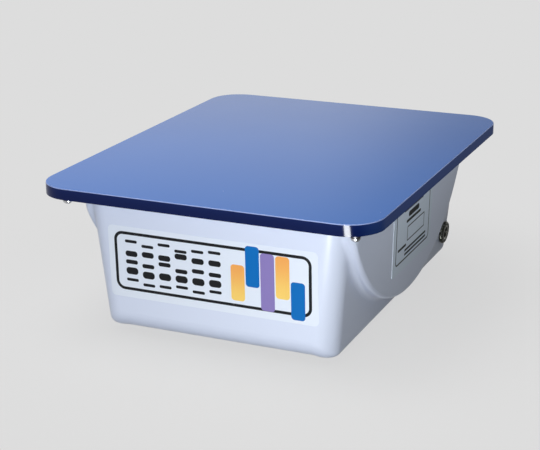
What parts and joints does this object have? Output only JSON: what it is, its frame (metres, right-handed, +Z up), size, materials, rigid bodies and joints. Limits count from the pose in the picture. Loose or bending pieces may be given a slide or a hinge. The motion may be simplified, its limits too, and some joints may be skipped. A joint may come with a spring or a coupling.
{
  "type": "transilluminator",
  "caption": "Bench transilluminator: rectangular blue viewing plate screwed to a white moulded tub with curved side pods, lamps and driver inside, side inlet, back rocker switch.",
  "frame": {"origin": "on the surface it stands on, under the middle of the plate", "axes": "+X right, -Y front (the side with the wide sticker), +Z up"},
  "size_m": [0.228, 0.28, 0.105],
  "materials": {
    "tub_white": "glossy moulded white plastic",
    "blue_acrylic": "polished deep blue acrylic",
    "foam": "closed-cell foam",
    "steel": "zinc-plated steel",
    "rubber": "moulded black rubber",
    "reflector": "bright rolled aluminium",
    "opal": "opal acrylic",
    "lamp_glass": "phosphor-coated glass",
    "lamp_plastic": "white heat-resistant plastic",
    "brass": "turned brass",
    "board_green": "glass-fibre board with green varnish",
    "ferrite": "sintered ferrite",
    "copper": "enamelled copper wire",
    "can": "sleeved aluminium can",
    "film": "boxed film capacitor",
    "aluminium": "extruded aluminium",
    "black_plastic": "black moulded plastic",
    "terminal": "green terminal plastic",
    "fuse_glass": "clear glass with nickel caps",
    "nickel": "nickel-plated brass",
    "wire_red": "red insulation",
    "wire_black": "black insulation",
    "cable_grey": "grey insulation",
    "label": "printed film"
  },
  "bodies": {
    "root": {"housing_tub": "tub_white", "filter_plate": "blue_acrylic", "plate_gasket": "foam", "plate_screws": "steel", "plate_washers": "steel", "feet": "rubber", "foot_screws": "steel", "reflector_tray": "reflector", "reflector_screws": "steel", "diffuser_sheet": "opal", "lamp_1_tube": "lamp_glass", "lamp_2_tube": "lamp_glass", "lamp_1_cap": "lamp_plastic", "lamp_2_cap": "lamp_plastic", "lamp_pins": "brass", "lamp_socket_1": "lamp_plastic", "lamp_socket_2": "lamp_plastic", "socket_screws": "steel", "lamp_clips": "steel", "clip_screws": "steel", "ballast_board": "board_green", "board_screws": "steel", "transformer_core": "ferrite", "transformer_winding": "copper", "electrolytic_capacitors": "can", "film_capacitors": "film", "heat_sink": "aluminium", "power_transistors": "black_plastic", "input_terminals": "terminal", "output_terminals": "terminal", "fuse_tube": "fuse_glass", "fuse_clips": "nickel", "inlet_barrel": "nickel", "inlet_ring": "nickel", "inlet_plug": "black_plastic", "inlet_pin": "brass", "inlet_tab": "brass", "inlet_nut": "nickel", "switch_frame": "black_plastic", "switch_tabs": "brass", "supply_wire": "wire_red", "return_wire": "wire_black", "switched_wire": "wire_red", "lamp_cable_1": "cable_grey", "lamp_cable_2": "cable_grey", "front_label": "label", "side_label": "label"},
    "rocker": {"switch_rocker": "black_plastic"}
  },
  "joints": [
    {"name": "rocker_tilt", "type": "hinge", "parent": "root", "child": "rocker", "pos_m": [0, 0.1267, 0.03001], "axis": [1, 0, 0], "range_deg": [0, 22]}
  ]
}
